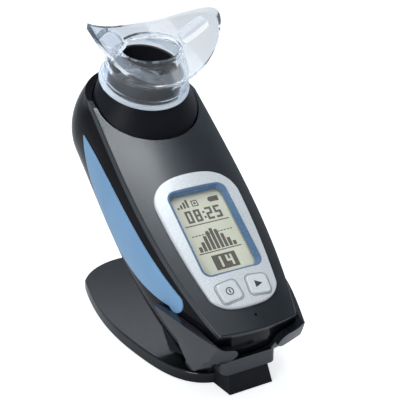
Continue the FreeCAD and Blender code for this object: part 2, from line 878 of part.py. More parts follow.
def bite_block(side):
    # Tab that the teeth close on, standing off the flange towards its centre of bend
    seat = flange_bend_radius + flange_thickness / 2
    tab = rounded_block(bite_half_length, bite_height / 2, bite_corner, -bite_thickness / 2,
                        bite_thickness / 2, (0, bite_height / 2 - seat))
    tab = tab.makeFillet(bite_edge, [edge for edge in tab.Edges if edge.BoundBox.ZLength < 0.01])
    tab.rotate(Vector(0, 0, 0), Vector(1, 0, 0), 90.0)
    tab.rotate(Vector(0, 0, 0), Vector(0, 1, 0), -side * bite_angle)
    tab.translate(Vector(0, 0, flange_plane + flange_bend_radius))
    return tab


def make_mouthpiece():
    seat = slide_gap
    barrel_top = spigot_height + 1.0
    barrel = cylinder(tube_radius, barrel_top - seat, (0, 0, seat))
    collar = cylinder(collar_radius, 1.7, (0, 0, seat))
    collar = collar.makeFillet(0.7, [edge for edge in collar.Edges
                                     if edge.BoundBox.ZLength < 0.01])
    bead = cylinder(tube_radius + 0.6, 0.9, (0, 0, 3.4))
    narrow = Part.makeLoft([circle_wire(tube_radius, (0, 0, barrel_top)),
                            throat_wire(2.0, flange_plane + 0.8)], True, True)
    shell = cylinder(flange_bend_radius + flange_thickness, 120.0,
                     (0, -60.0, flange_plane + flange_bend_radius), (0, 1, 0))
    shell = shell.cut(cylinder(flange_bend_radius, 120.0,
                               (0, -60.0, flange_plane + flange_bend_radius), (0, 1, 0)))
    leaf = prism(leaf_wire(flange_plane - 5.0), (0, 0, flange_bend_radius - 2.0))
    flange = shell.common(leaf)
    lip = throat(1.5, flange_plane, flange_plane + 3.2)
    blocks = [bite_block(side) for side in (-1, 1)]
    whole = joined([barrel, collar, bead, narrow, flange, lip] + blocks)
    bore = cylinder(spigot_radius + tube_bore_gap, barrel_top - seat, (0, 0, seat))
    taper = Part.makeLoft([circle_wire(spigot_radius + tube_bore_gap, (0, 0, barrel_top)),
                           throat_wire(0.0, flange_plane + 0.8)], True, True)
    return whole.cut(bore).cut(taper).cut(throat(0.0, flange_plane + 0.8, flange_plane + 9.0))


# Cradle

def leaf_base_wire(inset, z):
    half_width = base_half_width - inset
    half_shoulder = base_half_shoulder - inset
    shoulder = base_shoulder_y
    back = base_back_y - inset
    front = base_front_y + inset
    right = spline([(0, front, z), (0.62 * half_width, front + 6.0, z),
                    (0.93 * half_width, 43.0, z), (half_width, 68.0, z),
                    (0.93 * half_width, 93.0, z), (half_shoulder, shoulder, z)])
    left = spline([(-half_shoulder, shoulder, z), (-0.93 * half_width, 93.0, z),
                   (-half_width, 68.0, z), (-0.93 * half_width, 43.0, z),
                   (-0.62 * half_width, front + 6.0, z), (0, front, z)])
    rear = arc((half_shoulder, shoulder, z), (0, back, z), (-half_shoulder, shoulder, z))
    return Part.Wire([right, rear, left])


def leaf_base(inset, low, high):
    return prism(leaf_base_wire(inset, low), (0, 0, high - low))


def side_prism(points, half_width):
    # A side-view outline, given as (y, z) points, extruded across the object
    wire = polygon([(-half_width, y, z) for y, z in points])
    return prism(wire, (2 * half_width, 0, 0))


def nose_form(inset=0.0):
    low = foot_height
    foot = polygon([(-nose_half_width + inset, inset, low),
                    (nose_half_width - inset, inset, low),
                    (nose_half_width + 1.8 - inset, nose_run, low),
                    (-nose_half_width - 1.8 + inset, nose_run, low)])
    top_front = nose_slope
    top = polygon([(-nose_half_top + inset, top_front + inset, nose_height),
                   (nose_half_top - inset, top_front + inset, nose_height),
                   (nose_half_top + 2.0 - inset, nose_run, nose_height + 4.0),
                   (-nose_half_top - 2.0 + inset, nose_run, nose_height + 4.0)])
    return Part.makeLoft([foot, top], True, True)


def handset_room():
    return in_handset(body_solid(cup_gap).common(crown(20.0)))


def nose_region(gap=0.0):
    return nose_form(-gap).common(box((-40, -20, 0), (40, nose_back_y + gap, 40)))


def make_nose_block(room):
    return nose_region().cut(room)


def arm_band():
    # Side view of both arms: a blade that tapers back and up to its tip
    side_x = -cup_reach
    tip = (side_x, arm_tip_y, arm_tip_z)
    front_top = (side_x, -arm_nose_run, arm_nose_z)
    front_low = (side_x, -arm_nose_run, notch_floor - arm_end_radius)
    corner = (side_x, 0, arm_corner_low_z)
    under_corner = (side_x, -arm_corner_step, notch_floor - arm_end_radius)
    upper = spline([tip, (side_x, arm_middle_y, arm_middle_z), (side_x, 0, arm_corner_z),
                    front_top])
    lower = spline([corner, (side_x, arm_middle_y, arm_middle_low_z),
                    (side_x, arm_waist_y, arm_waist_low_z), tip])
    wire = Part.Wire([upper, line(front_top, front_low), line(front_low, under_corner),
                      line(under_corner, corner), lower])
    return prism(wire, (2.0 * cup_reach, 0, 0))


def arm_front(side):
    # Front view of one arm: its round end beside the nose, rising to the cup's corner
    front_y = -cup_reach
    centre_x = notch_half_width + arm_end_radius
    low_slope = (arm_corner_low_z - arm_end_z + arm_end_radius) / (arm_corner_x - centre_x)
    far_low_z = arm_corner_low_z + low_slope * (cup_reach - arm_corner_x)
    top = (side * centre_x, front_y, arm_end_z + arm_end_radius)
    low = (side * centre_x, front_y, arm_end_z - arm_end_radius)
    high = (side * arm_corner_x, front_y, cup_reach)
    far_high = (side * cup_reach, front_y, cup_reach)
    far_low = (side * cup_reach, front_y, far_low_z)
    end = arc(low, (side * notch_half_width, front_y, arm_end_z), top)
    rise = spline([top, (side * arm_step_x, front_y, arm_step_z),
                   (side * arm_inner_x, front_y, arm_inner_z), high])
    wire = Part.Wire([end, rise, line(high, far_high), line(far_high, far_low),
                      line(far_low, low)])
    return prism(wire, (0, 2.0 * cup_reach, 0))


def make_cradle_cup(room):
    # Thin bowl round the handset's foot on a pedestal, with a thick arm up each side
    thick = in_handset(body_solid(cup_gap + cup_wall).common(crown(cup_rise)))
    thin = in_handset(body_solid(cup_gap + bowl_wall).common(crown(cup_rise)))
    arms = [thick.common(arm_band()).common(arm_front(side)) for side in (-1, 1)]
    bowl = thin.common(side_prism([(bowl_back_y, bowl_back_z), (bowl_front_y, bowl_front_z),
                                   (bowl_front_y, bowl_chin_z), (bowl_chin_y, base_height),
                                   (bowl_foot_y, base_height), (bowl_heel_y, bowl_heel_z)],
                                  cup_reach))
    saddle = side_prism([(nose_back_y, base_height), (nose_back_y, shoulder_high),
                         (saddle_top_y, shoulder_high), (saddle_middle_y, saddle_middle_z),
                         (saddle_back_y, saddle_back_z), (saddle_foot_y, base_height)],
                        saddle_half_width)
    rims = [edge for edge in saddle.Edges if edge.BoundBox.XLength < 0.01
            and edge.BoundBox.ZLength > 0.5 and edge.BoundBox.YMin > saddle_top_y - 0.5]
    saddle = saddle.makeFillet(saddle_radius, rims)
    collar = rounded_block(shoulder_half_width, shoulder_run / 2, shoulder_radius,
                           shoulder_low, shoulder_high, (0, shoulder_front_y + shoulder_run / 2))
    cup = joined([bowl, saddle, collar] + arms).cut(room)
    return cup.cut(nose_region(seam_gap)).cut(notch_space())


def notch_space():
    # The gap in front of the foot, between the arms' round ends
    return box((-notch_half_width, -cup_reach, notch_floor),
               (notch_half_width, notch_back_y, cup_reach))


def make_base_plate():
    plate = leaf_base(0.0, foot_height, base_height)
    edges = [edge for edge in plate.Edges if edge.BoundBox.ZMin > base_height - 0.01]
    plate = plate.makeFillet(0.9, edges)
    plate = plate.cut(leaf_base(base_rim, foot_height - 1.0, foot_height + cover_thickness))
    pocket_top = base_height - 1.5
    plate = plate.cut(leaf_base(base_rim + 1.5, foot_height, pocket_top))
    bosses = [cylinder(3.2, pocket_top - foot_height - cover_thickness,
                       (x, y, foot_height + cover_thickness)) for x, y in base_screw_places]
    plate = joined([plate] + bosses)
    for x, y in base_screw_places:
        plate = plate.cut(cylinder(screw_radius, 3.0, (x, y, foot_height + cover_thickness
                                                       - 1.0)))
    return plate.cut(nose_region(seam_gap)).cut(usb_room())


def usb_room():
    low = foot_height + cover_thickness + 0.1
    return box((-usb_half_width - seam_gap, base_back_y - usb_length, low - seam_gap),
               (usb_half_width + seam_gap, base_back_y + 5.0, low + usb_height
                + seam_gap))


def make_usb_socket():
    low = foot_height + cover_thickness + 0.1
    back = base_back_y - 0.4
    shell = box((-usb_half_width, back - usb_length + 0.5, low),
                (usb_half_width, back, low + usb_height))
    mouth = box((-usb_half_width + 0.4, back - usb_length + 1.5, low + 0.4),
                (usb_half_width - 0.4, back + 1.0, low + usb_height - 0.4))
    tongue = box((-usb_half_width + 1.4, back - usb_length + 1.5, low + 1.1),
                 (usb_half_width - 1.4, back - 0.8, low + 1.6))
    return joined([shell.cut(mouth), tongue])


def make_base_cover():
    cover = leaf_base(base_rim + slide_gap / 2, foot_height, foot_height + cover_thickness)
    for x, y in base_screw_places:
        cover = cover.cut(cylinder(screw_radius + seam_gap, 10.0, (x, y, -1.0)))
        cover = cover.cut(cylinder(screw_head_radius + seam_gap, foot_height + 0.75,
                                   (x, y, 0)))
    for x, y in foot_places:
        cover = cover.cut(cylinder(5.0 + seam_gap, foot_height + 0.4, (x, y, 0)))
    return cover.cut(nose_region(seam_gap))


def make_rubber_feet():
    pads = []
    for x, y in foot_places:
        pad = cylinder(5.0, foot_height + 0.4, (x, y, 0))
        pads.append(pad.makeFillet(0.2, [edge for edge in pad.Edges
                                         if edge.BoundBox.ZMax < 0.01]))
    return Part.makeCompound(pads)


def make_base_screws():
    screws = []
    top = foot_height + 0.7
    for x, y in base_screw_places:
        head = cylinder(screw_head_radius, top - foot_height, (x, y, foot_height))
        shank = cylinder(screw_radius - seam_gap, 2.0, (x, y, top - 0.5))
        drive = cylinder(0.9, 0.4, (x, y, foot_height))
        screws.append(joined([head, shank]).cut(drive))
    return Part.makeCompound(screws)


def make_ballast_plate():
    low = foot_height + cover_thickness
    plate = rounded_block(16.0, 22.0, 3.0, low, base_height - 1.6, (0, 69.0))
    return plate


def make_charge_board():
    low = foot_height + cover_thickness
    return box((-10.0, 97.0, low), (10.0, base_back_y - usb_length - 1.0, low + 1.0))


# Contact pins in the cradle, in the handset frame



def make_contact_pin(x):
    tip_y = contact_face_y - 0.1
    body = cylinder(pin_radius, 4.2, (x, tip_y - 4.2, -contact_depth), (0, 1, 0))
    collar = cylinder(pin_radius + 0.25, 0.5, (x, tip_y - 2.95, -contact_depth), (0, 1, 0))
    return joined([body, collar])


def make_contact_barrels():
    barrels = []
    for x in (-contact_x, contact_x):
        length = contact_face_y - 1.6 - barrel_low_y
        barrel = cylinder(barrel_radius, length, (x, barrel_low_y, -contact_depth), (0, 1, 0))
        mouth = cylinder(pin_radius + running_gap, length,
                         (x, barrel_low_y + 0.3, -contact_depth), (0, 1, 0))
        chamber = cylinder(pin_radius + 0.25 + running_gap, length - 1.1,
                           (x, barrel_low_y + 0.3, -contact_depth), (0, 1, 0))
        barrels.append(barrel.cut(mouth).cut(chamber))
    return Part.makeCompound(barrels)


def barrel_room():
    # Bores for the contact barrels, widened where the handset's studs come down
    rooms = []
    for x in (-contact_x, contact_x):
        bore = cylinder(barrel_radius + seam_gap, 12.0, (x, barrel_low_y, -contact_depth),
                        (0, 1, 0))
        relief = cylinder(contact_radius + fit_gap, 12.0,
                          (x, contact_face_y - fit_gap, -contact_depth), (0, 1, 0))
        rooms.append(in_handset(joined([bore, relief])))
    return rooms




def build_nodes():
    nodes = {}
    outer = handset_outer()
    cavity = handset_cavity()
    grip_floor = body_solid(-grip_thickness + grip_proud)
    grip_skin = body_solid(grip_proud)
    recesses = [side_recess(side, grip_floor) for side in (-1, 1)]
    flat = {
        "front_panel": make_front_panel(outer),
        "front_casing": make_front_casing(outer, cavity, recesses),
        "rear_casing": make_rear_casing(outer, cavity, recesses),
        "grip_left": grip(-1, grip_skin, grip_floor),
        "grip_right": grip(1, grip_skin, grip_floor),
        "display_bezel": make_bezel(),
        "display_surround": make_display_surround(),
        "display_window": make_display_window(),
        "lcd_panel": make_lcd_panel(),
        "lcd_holder": make_lcd_holder(),
        "power_button": make_button(0),
        "play_button": make_button(1),
        "key_mat": make_key_mat(),
        "main_board": make_main_board(),
        "battery_pack": make_battery_pack(),
        "sounder": make_sounder(),
        "pressure_sensor": make_pressure_sensor(),
        "light_guide": make_light_guide(),
        "charge_contacts": make_charge_contacts(),
        "casing_screws": make_casing_screws(),
        "valve_motor": make_motor(),
        "motor_bracket": make_motor_bracket(),
        "drive_shaft": make_drive_shaft(),
        "valve_head_shell": make_valve_head_shell(),
        "valve_seat": make_valve_seat(),
        "rotor_bush": make_rotor_bush(),
        "valve_rotor": make_valve_rotor(),
        "valve_cage": make_valve_cage(),
        "vent_grille": make_vent_grille(),
        "vent_seat": make_vent_seat(),
        "vent_flap": make_vent_flap(),
        "flap_pin": make_flap_pin(),
        "contact_pin_left": make_contact_pin(-contact_x),
        "contact_pin_right": make_contact_pin(contact_x),
        "contact_barrels": make_contact_barrels(),
    }
    for name, shape in flat.items():
        nodes[name] = in_handset(shape)
    nodes["outlet_spigot"] = in_outlet(make_outlet_spigot())
    nodes["mouthpiece"] = in_outlet(make_mouthpiece())
    room = handset_room()
    cup = make_cradle_cup(room)
    nose = make_nose_block(room)
    for hole in barrel_room():
        cup = cup.cut(hole)
        nose = nose.cut(hole)
    nodes["cradle_cup"] = cup
    nodes["nose_block"] = nose
    nodes["base_plate"] = make_base_plate()
    nodes["base_cover"] = make_base_cover()
    nodes["rubber_feet"] = make_rubber_feet()
    nodes["base_screws"] = make_base_screws()
    nodes["ballast_plate"] = make_ballast_plate()
    nodes["charge_board"] = make_charge_board()
    nodes["usb_socket"] = make_usb_socket()
    return nodes


def main():
    os.makedirs("parts", exist_ok=True)
    on_origin = Placement(Vector(0, -footprint_middle, 0), Rotation())
    for name, shape in build_nodes().items():
        shape = placed(shape, on_origin)
        shape.exportStep("parts/" + name + ".step")
        print(name, len(shape.Solids), round(shape.Volume), shape.isValid())


main()
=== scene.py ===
import json
import math
import bmesh
import bpy
from mathutils import Matrix, Vector
from mathutils.bvhtree import BVHTree


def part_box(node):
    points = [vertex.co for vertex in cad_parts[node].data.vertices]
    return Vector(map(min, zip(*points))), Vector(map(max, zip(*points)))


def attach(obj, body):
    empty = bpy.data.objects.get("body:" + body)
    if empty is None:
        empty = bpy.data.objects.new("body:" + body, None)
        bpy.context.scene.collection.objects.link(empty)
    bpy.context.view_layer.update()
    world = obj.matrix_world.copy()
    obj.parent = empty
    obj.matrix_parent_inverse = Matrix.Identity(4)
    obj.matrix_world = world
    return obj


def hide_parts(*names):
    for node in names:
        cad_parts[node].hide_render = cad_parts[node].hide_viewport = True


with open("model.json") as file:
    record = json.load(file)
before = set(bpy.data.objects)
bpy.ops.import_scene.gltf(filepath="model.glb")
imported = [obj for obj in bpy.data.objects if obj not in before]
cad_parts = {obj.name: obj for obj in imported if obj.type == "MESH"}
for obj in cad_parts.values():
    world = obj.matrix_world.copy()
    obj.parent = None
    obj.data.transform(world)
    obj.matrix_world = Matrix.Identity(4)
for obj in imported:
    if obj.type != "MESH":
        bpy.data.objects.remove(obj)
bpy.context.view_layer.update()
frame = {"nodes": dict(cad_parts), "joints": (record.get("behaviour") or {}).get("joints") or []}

nodes = frame["nodes"]
joints = {joint["name"]: joint for joint in frame["joints"]}
mm = 0.001

# Directions of the handset as it stands in its cradle, and the middle of its display's face
across = Vector((1.0, 0.0, 0.0))
upward = Vector(joints["handset_lift"]["axis"]).normalized()
outward = Vector(joints["head_pull"]["axis"]).normalized()
along_mouthpiece = Vector(joints["mouthpiece_pull"]["axis"]).normalized()
window_middle_depth = 2.1 * mm
window_low, window_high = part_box("display_window")
display = (window_low + window_high) / 2 + outward * window_middle_depth


def on_handset(x, y, z):
    # A place in metres across, up and out of the display
    return display + across * x + upward * y + outward * z


def reach(name, direction):
    # How far a node's points go along a direction
    spans = [point.co.dot(direction) for point in nodes[name].data.vertices]
    return min(spans), max(spans)


# Nodes of materials and of the world

noise_low, noise_high = 0.3, 0.7


def add_noise(tree, scale, detail):
    place = tree.nodes.new("ShaderNodeTexCoord")
    noise = tree.nodes.new("ShaderNodeTexNoise")
    noise.inputs["Scale"].default_value = scale
    noise.inputs["Detail"].default_value = detail
    tree.links.new(place.outputs["Object"], noise.inputs["Vector"])
    return noise.outputs["Fac"]


def add_range(tree, source, low, high, from_low=noise_low, from_high=noise_high):
    node = tree.nodes.new("ShaderNodeMapRange")
    node.inputs["From Min"].default_value = from_low
    node.inputs["From Max"].default_value = from_high
    node.inputs["To Min"].default_value = low
    node.inputs["To Max"].default_value = high
    tree.links.new(source, node.inputs["Value"])
    return node.outputs["Result"]


def add_mix(tree, factor, first, second):
    node = tree.nodes.new("ShaderNodeMix")
    node.data_type = "RGBA"
    node.inputs["A"].default_value = (*first, 1.0)
    node.inputs["B"].default_value = (*second, 1.0)
    tree.links.new(factor, node.inputs["Factor"])
    return node.outputs["Result"]


def add_math(tree, operation, first, second):
    node = tree.nodes.new("ShaderNodeMath")
    node.operation = operation
    for socket, value in zip(node.inputs, (first, second)):
        if isinstance(value, float):
            socket.default_value = value
        else:
            tree.links.new(value, socket)
    return node.outputs["Value"]


def add_bump(tree, shader, source, strength, distance):
    bump = tree.nodes.new("ShaderNodeBump")
    bump.inputs["Strength"].default_value = strength
    bump.inputs["Distance"].default_value = distance
    tree.links.new(source, bump.inputs["Height"])
    tree.links.new(bump.outputs["Normal"], shader.inputs["Normal"])


# Kinds of material

cloud_scale, cloud_detail = 60.0, 3.0
grain_detail = 2.0
grain_depth = 0.05 * mm
clear_grain, clear_bump, clear_grain_depth = 300.0, 0.03, 0.1 * mm
clear_uneven = 0.3

# Where a clear surface turns away and takes on its edge colour
edge_blend = 0.5
edge_from, edge_to = 0.3, 0.9

# The mouthpiece's bead, whitened as a painted highlight for the line of light it catches, and
# the share of light that passes it
bead_highlight_height = 0.35 * mm
bead_highlight_passing = 0.35


def new_material(name):
    material = bpy.data.materials.new(name)
    material.use_nodes = True
    tree = material.node_tree
    return material, tree, tree.nodes["Principled BSDF"]


def add_finish(tree, shader, grain, rough, uneven, bump, depth):
    # Fine grain that varies the roughness and raises the surface a little
    fine = add_noise(tree, grain, grain_detail)
    finish = add_range(tree, fine, rough * (1 - uneven), rough * (1 + uneven))
    tree.links.new(finish, shader.inputs["Roughness"])
    add_bump(tree, shader, fine, bump, depth)


def moulded(name, dark, light, rough, grain=900.0, bump=0.05, metallic=0.0, specular=0.5,
            uneven=0.18):
    # Plastic, lacquer or metal with a slightly uneven colour and finish
    material, tree, shader = new_material(name)
    cloud = add_noise(tree, cloud_scale, cloud_detail)
    colour = add_mix(tree, add_range(tree, cloud, 0.0, 1.0), dark, light)
    tree.links.new(colour, shader.inputs["Base Color"])
    add_finish(tree, shader, grain, rough, uneven, bump, grain_depth)
    shader.inputs["Metallic"].default_value = metallic
    shader.inputs["Specular IOR Level"].default_value = specular
    return material


def clear(name, tint, rough, ior, shade, edge=None, passing=1.0):
    # Clear plastic or silicone that lets the lamps through to what is behind it
    material, tree, shader = new_material(name)
    shader.inputs["Base Color"].default_value = (*tint, 1.0)
    if edge:
        weight = tree.nodes.new("ShaderNodeLayerWeight")
        weight.inputs["Blend"].default_value = edge_blend
        turned = add_range(tree, weight.outputs["Facing"], 0.0, 1.0, edge_from, edge_to)
        tree.links.new(add_mix(tree, turned, tint, edge), shader.inputs["Base Color"])
    shader.inputs["Transmission Weight"].default_value = passing
    shader.inputs["IOR"].default_value = ior
    add_finish(tree, shader, clear_grain, rough, clear_uneven, clear_bump, clear_grain_depth)
    path = tree.nodes.new("ShaderNodeLightPath")
    veil = tree.nodes.new("ShaderNodeBsdfTransparent")
    veil.inputs["Color"].default_value = (*shade, 1.0)
    mix = tree.nodes.new("ShaderNodeMixShader")
    tree.links.new(path.outputs["Is Shadow Ray"], mix.inputs["Fac"])
    tree.links.new(shader.outputs["BSDF"], mix.inputs[1])
    tree.links.new(veil.outputs["BSDF"], mix.inputs[2])
    tree.links.new(mix.outputs["Shader"], tree.nodes["Material Output"].inputs["Surface"])
    return material


def paint_bead_highlight(material, name, direction):
    # A band at the low end of a clear piece lets less light through, so it looks whiter: a
    # painted highlight for the line of light its thick bead catches, where the thick silicone
    # also scatters some light
    tree = material.node_tree
    passing = tree.nodes["Principled BSDF"].inputs["Transmission Weight"]
    place = tree.nodes.new("ShaderNodeTexCoord")
    along = tree.nodes.new("ShaderNodeVectorMath")
    along.operation = "DOT_PRODUCT"
    along.inputs[1].default_value = direction
    tree.links.new(place.outputs["Object"], along.inputs[0])
    low = reach(name, direction)[0]
    weight = add_range(tree, along.outputs["Value"], bead_highlight_passing, passing.default_value,
                       low + bead_highlight_height, low + bead_highlight_height * 2)
    tree.links.new(weight, passing)


# Materials, and the nodes that wear them

panel_lacquer = moulded("panel_lacquer", (0.014, 0.017, 0.021), (0.020, 0.024, 0.029), 0.25,
                        grain=1600.0, bump=0.004, specular=0.8, uneven=0.05)
gloss_black = moulded("gloss_black", (0.003, 0.003, 0.005), (0.006, 0.006, 0.008), 0.14,
                      grain=500.0, bump=0.02, specular=0.12)
cradle_black = moulded("cradle_black", (0.004, 0.005, 0.007), (0.007, 0.008, 0.011), 0.13,
                       grain=500.0, bump=0.02, specular=0.6)
arm_black = moulded("arm_black", (0.011, 0.013, 0.018), (0.016, 0.018, 0.024), 0.20,
                    grain=1400.0, bump=0.02, specular=1.0)
nose_black = moulded("nose_black", (0.008, 0.009, 0.012), (0.012, 0.013, 0.017), 0.34,
                     grain=1400.0, bump=0.04, specular=0.2)
head_black = moulded("head_black", (0.008, 0.008, 0.011), (0.011, 0.012, 0.015), 0.40,
                     grain=1400.0, bump=0.06, specular=0.12)
grip_blue = moulded("grip_blue", (0.18, 0.35, 0.56), (0.21, 0.39, 0.61), 0.34,
                    grain=1800.0, bump=0.10)
bezel_silver = moulded("bezel_silver", (0.70, 0.72, 0.73), (0.75, 0.77, 0.78), 0.26,
                       grain=2600.0, bump=0.06, metallic=0.15)
surround_blue = moulded("surround_blue", (0.10, 0.18, 0.30), (0.13, 0.22, 0.35), 0.25)
button_silver = moulded("button_silver", (0.72, 0.74, 0.75), (0.77, 0.79, 0.80), 0.30,
                        grain=2600.0, bump=0.06, metallic=0.1)
dark_print = moulded("dark_print", (0.03, 0.03, 0.035), (0.05, 0.05, 0.055), 0.45)
# Grey of the painted shade in the gap round each key
key_gap_shade = moulded("key_gap_shade", (0.20, 0.21, 0.22), (0.26, 0.27, 0.28), 0.45)
screen_ground = moulded("screen_ground", (0.41, 0.41, 0.345), (0.46, 0.46, 0.385), 0.40)
screen_mark = moulded("screen_mark", (0.040, 0.034, 0.028), (0.055, 0.046, 0.038), 0.40)
window_clear = clear("window_clear", (0.98, 0.99, 0.98), 0.02, 1.30, (0.92, 0.93, 0.92))
silicone_clear = clear("silicone_clear", (0.96, 0.97, 0.985), 0.05, 1.20,
                       (0.86, 0.90, 0.94), edge=(0.52, 0.70, 0.91), passing=0.97)
# Painted highlight: a whiter band along the mouthpiece's low bead
paint_bead_highlight(silicone_clear, "mouthpiece", along_mouthpiece)
white_moulding = moulded("white_moulding", (0.66, 0.66, 0.64), (0.72, 0.72, 0.70), 0.45)
grey_acetal = moulded("grey_acetal", (0.10, 0.11, 0.13), (0.13, 0.14, 0.16), 0.40)
pale_acetal = moulded("pale_acetal", (0.55, 0.57, 0.58), (0.62, 0.64, 0.65), 0.40)
grey_silicone = moulded("grey_silicone", (0.40, 0.40, 0.41), (0.46, 0.46, 0.47), 0.55)
rubber_black = moulded("rubber_black", (0.018, 0.018, 0.019), (0.028, 0.028, 0.029), 0.65)
texture_black = moulded("texture_black", (0.014, 0.014, 0.016), (0.022, 0.022, 0.024), 0.5,
                        grain=1500.0, bump=0.35)
board_green = moulded("board_green", (0.02, 0.13, 0.06), (0.03, 0.17, 0.08), 0.35)
cell_blue = moulded("cell_blue", (0.05, 0.09, 0.26), (0.07, 0.12, 0.32), 0.35)
steel = moulded("steel", (0.50, 0.50, 0.51), (0.58, 0.58, 0.59), 0.28, metallic=1.0)
gold = moulded("gold", (0.72, 0.52, 0.22), (0.80, 0.60, 0.28), 0.25, metallic=1.0)
brass = moulded("brass", (0.60, 0.44, 0.18), (0.68, 0.52, 0.24), 0.32, metallic=1.0)

finishes = {
    panel_lacquer: ["front_panel"],
    gloss_black: ["front_casing", "rear_casing"],
    cradle_black: ["base_plate"],
    arm_black: ["cradle_cup"],
    nose_black: ["nose_block"],
    head_black: ["valve_head_shell", "outlet_spigot", "valve_cage", "vent_grille"],
    grip_blue: ["grip_left", "grip_right"],
    bezel_silver: ["display_bezel"],
    surround_blue: ["display_surround"],
    button_silver: ["power_button", "play_button"],
    window_clear: ["display_window", "light_guide"],
    silicone_clear: ["mouthpiece"],
    white_moulding: ["lcd_holder"],
    grey_acetal: ["valve_seat", "vent_seat", "motor_bracket"],
    pale_acetal: ["valve_rotor"],
    grey_silicone: ["key_mat", "vent_flap"],
    rubber_black: ["rubber_feet"],
    texture_black: ["base_cover", "sounder", "pressure_sensor"],
    board_green: ["main_board", "charge_board"],
    cell_blue: ["battery_pack"],
    steel: ["base_screws", "casing_screws", "ballast_plate", "usb_socket", "valve_motor",
            "drive_shaft", "flap_pin"],
    gold: ["contact_pin_left", "contact_pin_right", "charge_contacts"],
    brass: ["contact_barrels", "rotor_bush"],
}
for material, names in finishes.items():
    for name in names:
        for material_slot in nodes[name].material_slots:
            material_slot.material = material


# Meshes of the scene's own pieces

def join_rings(build, first, second):
    count = len(first)
    for i in range(count):
        build.faces.new((first[i], first[(i + 1) % count], second[(i + 1) % count], second[i]))


def skin_ring(build, low_outer, low_inner, high_outer, high_inner):
    # The skin of a flat ring with a hole
    join_rings(build, high_outer, high_inner)
    join_rings(build, low_inner, low_outer)
    join_rings(build, high_inner, low_inner)
    join_rings(build, low_outer, high_outer)


def skin_plate(build, low, high):
    # The skin of a flat plate
    build.faces.new(high)
    build.faces.new(list(reversed(low)))
    join_rings(build, low, high)


def make_piece(name, build, body, materials):
    bmesh.ops.recalc_face_normals(build, faces=build.faces)
    mesh = bpy.data.meshes.new(name)
    build.to_mesh(mesh)
    build.free()
    for material in materials:
        mesh.materials.append(material)
    piece = bpy.data.objects.new(name, mesh)
    bpy.context.scene.collection.objects.link(piece)
    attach(piece, body)
    return piece


# Screen: a raster of square cells, dark where its own plain design has a mark. Blocks are
# given in cells from the top left corner, as left, top, right and bottom.

cell = 0.5 * mm
screen_columns = 48
screen_rows = 76
screen_sink = 0.06 * mm

signal_bars = [(4 + 3 * step, 9 - 2 * step, 6 + 3 * step, 11) for step in range(4)]
sign_outline, sign_hole, sign_dot = (18, 5, 24, 11), (19, 6, 23, 10), (20, 7, 22, 9)
battery_sign = [(35, 5, 44, 10), (34, 6, 35, 9)]
clock_digits = ((8, "0"), (16, "8"), (27, "2"), (35, "5"))
clock_top, clock_half = 14, 5
clock_dots = [(24, 17, 26, 19), (24, 22, 26, 24)]
clock_rule = (3, 28, 45, 29)
chart_heights = (5, 9, 14, 18, 20, 18, 13, 8, 4)
chart_foot = 54
chart_bars = [(6 + 4 * place, chart_foot - height, 9 + 4 * place, chart_foot)
              for place, height in enumerate(chart_heights)]
chart_dashes = [(left, 38, left + 2, 39) for left in range(5, 43, 3)]
chart_rule = (4, 55, 44, 56)
count_plate = (13, 59, 35, 73)
count_digits = ((15, "1"), (25, "4"))
count_top, count_half = 61, 4
digit_width, digit_stroke = 6, 2

# The seven bars of a figure: start and end, in widths and half heights
segment_bars = {"top": (0, 0, 1, 0), "middle": (0, 1, 1, 1), "bottom": (0, 2, 1, 2),
                "top_left": (0, 0, 0, 1), "top_right": (1, 0, 1, 1),
                "low_left": (0, 1, 0, 2), "low_right": (1, 1, 1, 2)}
digit_segments = {
    "0": ("top", "bottom", "top_left", "top_right", "low_left", "low_right"),
    "1": ("top_right", "low_right"),
    "2": ("top", "middle", "bottom", "top_right", "low_left"),
    "4": ("middle", "top_left", "top_right", "low_right"),
    "5": ("top", "middle", "bottom", "top_left", "low_right"),
    "8": tuple(segment_bars),
}


def block(left, top, right, bottom):
    return {(column, row) for column in range(left, right) for row in range(top, bottom)}


def digit(name, left, top, half):
    # One plain seven-bar figure
    step = digit_width - digit_stroke
    cells = set()
    for segment in digit_segments[name]:
        x0, y0, x1, y1 = segment_bars[segment]
        cells |= block(left + x0 * step, top + y0 * half,
                       left + x1 * step + digit_stroke, top + y1 * half + digit_stroke)
    return cells


def screen_cells():
    cells = (block(*sign_outline) - block(*sign_hole)) | block(*sign_dot)
    for bars in (signal_bars, battery_sign, clock_dots, chart_bars, chart_dashes):
        for bar in bars:
            cells |= block(*bar)
    for left, name in clock_digits:
        cells |= digit(name, left, clock_top, clock_half)
    cells |= block(*clock_rule) | block(*chart_rule) | block(*count_plate)
    for left, name in count_digits:
        cells -= digit(name, left, count_top, count_half)
    return cells


